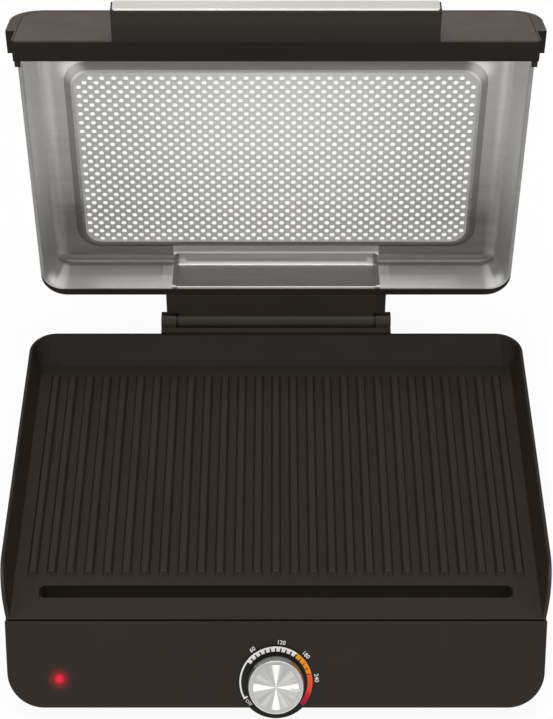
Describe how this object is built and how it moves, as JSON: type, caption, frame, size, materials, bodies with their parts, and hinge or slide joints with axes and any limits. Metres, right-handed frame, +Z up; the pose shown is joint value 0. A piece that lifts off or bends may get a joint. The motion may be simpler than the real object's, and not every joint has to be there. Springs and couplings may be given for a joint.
{
  "type": "electric contact grill with hinged vented lid",
  "caption": "Low electric grill with a ribbed drip plate, a leaning front with a rotary dial, and a hinged lid with a perforated steel liner standing open.",
  "frame": {"origin": "on the table, under the middle of the whole open grill's box", "axes": "+Z up, -Y towards the dial and the user, +X along the hinge axis to the right as seen from the front"},
  "size_m": [0.459, 0.4557, 0.4568],
  "materials": {
    "coated_cast": "satin dark non-stick coating",
    "dark_plastic": "fine matte texture",
    "front_plastic": "satin grey-brown",
    "pressed_steel": "satin stainless steel",
    "bright_steel": "brushed bright",
    "plated_sheet": "bright rolled sheet",
    "screw_steel": "zinc plated",
    "spring_steel": "drawn wire",
    "heater_tube": "oxidised sheath",
    "black_plastic": "matte black",
    "green_board": "coated laminate",
    "grey_plastic": "matte grey",
    "feet_rubber": "matte",
    "red_lens": "clear red moulding",
    "white_mark": "printed white",
    "wire_sleeve": "flexible insulation",
    "brass_blade": "tinned"
  },
  "bodies": {
    "base": {"base_housing": "dark_plastic", "bottom_cover": "black_plastic", "rubber_feet": "feet_rubber", "foot_screws": "screw_steel", "cover_screws": "screw_steel", "heat_reflector": "plated_sheet", "reflector_screws": "screw_steel", "heating_element": "heater_tube", "element_terminals": "brass_blade", "element_supports": "plated_sheet", "sensor_probe": "bright_steel", "probe_guide": "grey_plastic", "probe_spring": "spring_steel", "board_standoffs": "grey_plastic", "control_board": "green_board", "board_relay": "black_plastic", "terminal_block": "grey_plastic", "board_capacitors": "black_plastic", "cord_gland": "black_plastic", "gland_nut": "black_plastic", "supply_wires": "wire_sleeve", "element_leads": "wire_sleeve", "dial_rotary": "grey_plastic", "rotary_nut": "screw_steel", "dial_bezel": "black_plastic", "lamp_lens": "red_lens", "lamp_board": "green_board", "hinge_tower": "dark_plastic", "tower_screws": "screw_steel"},
    "hinge_rod": {"hinge_pin": "bright_steel"},
    "lid": {"hinge_arm": "dark_plastic", "arm_bushes": "black_plastic", "arm_screws": "screw_steel", "lid_shell": "dark_plastic", "lid_liner": "pressed_steel", "perforated_panel": "pressed_steel", "vent_frame": "dark_plastic", "liner_clips": "dark_plastic", "front_cap": "dark_plastic", "front_panel": "front_plastic", "handle_body": "dark_plastic", "handle_strip": "bright_steel", "handle_screws": "screw_steel", "cap_screws": "screw_steel"},
    "plate": {"grill_plate": "coated_cast"},
    "tray": {"grease_tray": "coated_cast"},
    "knob": {"knob_shaft": "bright_steel", "knob_body": "black_plastic", "knob_cap": "bright_steel", "knob_pointer": "white_mark"}
  },
  "joints": [
    {"name": "lid_lift", "type": "slide", "parent": "base", "child": "hinge_rod", "axis": [0, 0, 1], "range_m": [0, 0.1]},
    {"name": "lid_hinge", "type": "hinge", "parent": "hinge_rod", "child": "lid", "pos_m": [0, 0.16371, 0.103], "axis": [1, 0, 0], "range_deg": [0, 92]},
    {"name": "plate_lift", "type": "slide", "parent": "base", "child": "plate", "axis": [0, 0, 1], "range_m": [0, 0.06]},
    {"name": "tray_lift", "type": "slide", "parent": "base", "child": "tray", "axis": [0, 0, 1], "range_m": [0, 0.03]},
    {"name": "dial_turn", "type": "hinge", "parent": "base", "child": "knob", "pos_m": [0, -0.20095, 0.03375], "axis": [0, -0.7955, 0.606], "range_deg": [-33, 227]}
  ],
  "couplings": [
    {"joint": "plate_lift", "follows": "lid_lift", "ratio": 0.6},
    {"joint": "tray_lift", "follows": "lid_lift", "ratio": 0.3}
  ]
}
